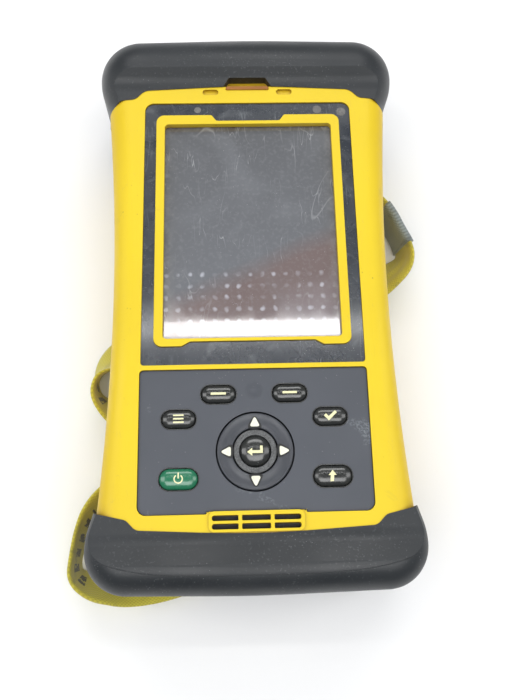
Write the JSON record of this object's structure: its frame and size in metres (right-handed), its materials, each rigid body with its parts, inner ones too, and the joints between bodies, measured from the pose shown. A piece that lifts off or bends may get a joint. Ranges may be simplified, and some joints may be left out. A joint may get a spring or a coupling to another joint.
{
  "type": "data collector",
  "caption": "Rugged handheld data collector in a waisted yellow housing with rubber end boots, a touch screen, a sealed keypad and a loose webbing hand strap.",
  "frame": {"origin": "under the middle of the device, on the surface that its two boots lie on", "axes": "+Z out of the screen, +Y towards the device's top end, +X to its right side"},
  "size_m": [0.1147, 0.1803, 0.05],
  "materials": {
    "yellow_shell": "satin",
    "rubber_boot": "matte",
    "overlay_gloss": "gloss",
    "screen_glass": "gloss",
    "lcd_module": "gloss",
    "keypad_grey": "matte",
    "key_black": "gloss",
    "key_green": "gloss",
    "collar_grey": "matte",
    "silicone_grey": "matte",
    "spring_steel": "brushed",
    "circuit_board": "satin",
    "chip_black": "matte",
    "tin_steel": "satin",
    "battery_case": "satin",
    "door_grey": "matte",
    "gold_contact": "polished",
    "flex_amber": "satin",
    "lens_smoke": "gloss",
    "window_dark": "gloss",
    "connector_black": "satin",
    "cover_rubber": "matte",
    "webbing_yellow": "woven",
    "sleeve_grey": "woven"
  },
  "bodies": {
    "root": {"battery_contacts": "gold_contact", "battery_door": "door_grey", "battery_pack": "battery_case", "board_screws": "tin_steel", "bottom_boot": "rubber_boot", "camera_module": "chip_black", "camera_window": "window_dark", "circuit_chips": "chip_black", "coin_cell": "tin_steel", "display_cable": "flex_amber", "display_gasket": "silicone_grey", "display_overlay": "overlay_gloss", "dome_switches": "spring_steel", "door_gasket": "silicone_grey", "enter_collar": "collar_grey", "front_housing": "yellow_shell", "housing_screws": "tin_steel", "housing_seal": "silicone_grey", "indicator_lenses": "lens_smoke", "keypad_board": "circuit_board", "keypad_cable": "flex_amber", "keypad_face": "keypad_grey", "keypad_mat": "silicone_grey", "lcd_panel": "lcd_module", "lcd_tray": "tin_steel", "main_board": "circuit_board", "microphone": "chip_black", "port_cover_pin": "spring_steel", "position_antenna": "gold_contact", "power_jack": "connector_black", "radio_antenna": "gold_contact", "rear_housing": "yellow_shell", "serial_insulator": "connector_black", "serial_jack_nuts": "tin_steel", "serial_pins": "gold_contact", "serial_shell": "tin_steel", "shield_cans": "tin_steel", "speaker": "chip_black", "speaker_mesh": "spring_steel", "strap_bar_bottom": "spring_steel", "strap_bar_top": "spring_steel", "strap_sleeve": "sleeve_grey", "strap_webbing": "webbing_yellow", "top_boot": "rubber_boot", "touch_panel": "screen_glass", "usb_port": "tin_steel"},
    "soft_key_left": {"soft_key_left": "key_black"},
    "soft_key_right": {"soft_key_right": "key_black"},
    "start_key": {"start_key": "key_black"},
    "accept_key": {"accept_key": "key_black"},
    "power_key": {"power_key": "key_green"},
    "launch_key": {"launch_key": "key_black"},
    "enter_key": {"enter_key": "key_black"},
    "nav_gimbal": {"nav_gimbal": "spring_steel"},
    "nav_ring": {"nav_ring": "collar_grey"},
    "turn_screw_upper": {"turn_screw_upper": "spring_steel"},
    "turn_screw_lower": {"turn_screw_lower": "spring_steel"},
    "port_cover": {"port_cover": "cover_rubber"}
  },
  "joints": [
    {"name": "soft_key_left_press", "type": "slide", "parent": "root", "child": "soft_key_left", "axis": [0, 0, -1], "range_m": [0, 0.0005], "stiffness_N_per_m": 1500},
    {"name": "soft_key_right_press", "type": "slide", "parent": "root", "child": "soft_key_right", "axis": [0, 0, -1], "range_m": [0, 0.0005], "stiffness_N_per_m": 1500},
    {"name": "start_key_press", "type": "slide", "parent": "root", "child": "start_key", "axis": [0, 0, -1], "range_m": [0, 0.0005], "stiffness_N_per_m": 1500},
    {"name": "accept_key_press", "type": "slide", "parent": "root", "child": "accept_key", "axis": [0, 0, -1], "range_m": [0, 0.0005], "stiffness_N_per_m": 1500},
    {"name": "power_key_press", "type": "slide", "parent": "root", "child": "power_key", "axis": [0, 0, -1], "range_m": [0, 0.0005], "stiffness_N_per_m": 1500},
    {"name": "launch_key_press", "type": "slide", "parent": "root", "child": "launch_key", "axis": [0, 0, -1], "range_m": [0, 0.0005], "stiffness_N_per_m": 1500},
    {"name": "enter_key_press", "type": "slide", "parent": "root", "child": "enter_key", "axis": [0, 0, -1], "range_m": [0, 0.0005], "stiffness_N_per_m": 1500},
    {"name": "nav_tilt_up_down", "type": "hinge", "parent": "root", "child": "nav_gimbal", "pos_m": [0, -0.05, 0.0423], "axis": [1, 0, 0], "range_deg": [-2, 2], "stiffness_Nm_per_rad": 0.5},
    {"name": "nav_tilt_left_right", "type": "hinge", "parent": "nav_gimbal", "child": "nav_ring", "pos_m": [0, -0.05, 0.0423], "axis": [0, 1, 0], "range_deg": [-2, 2], "stiffness_Nm_per_rad": 0.5},
    {"name": "turn_screw_upper_turn", "type": "hinge", "parent": "root", "child": "turn_screw_upper", "pos_m": [0, 0.046, 0.008], "axis": [0, 0, 1], "range_deg": [0, 90]},
    {"name": "turn_screw_lower_turn", "type": "hinge", "parent": "root", "child": "turn_screw_lower", "pos_m": [0, -0.048, 0.008], "axis": [0, 0, 1], "range_deg": [0, 90]},
    {"name": "port_cover_swing", "type": "hinge", "parent": "root", "child": "port_cover", "pos_m": [0.028, -0.086, 0.0115], "axis": [1, 0, 0], "range_deg": [0, 110]}
  ]
}
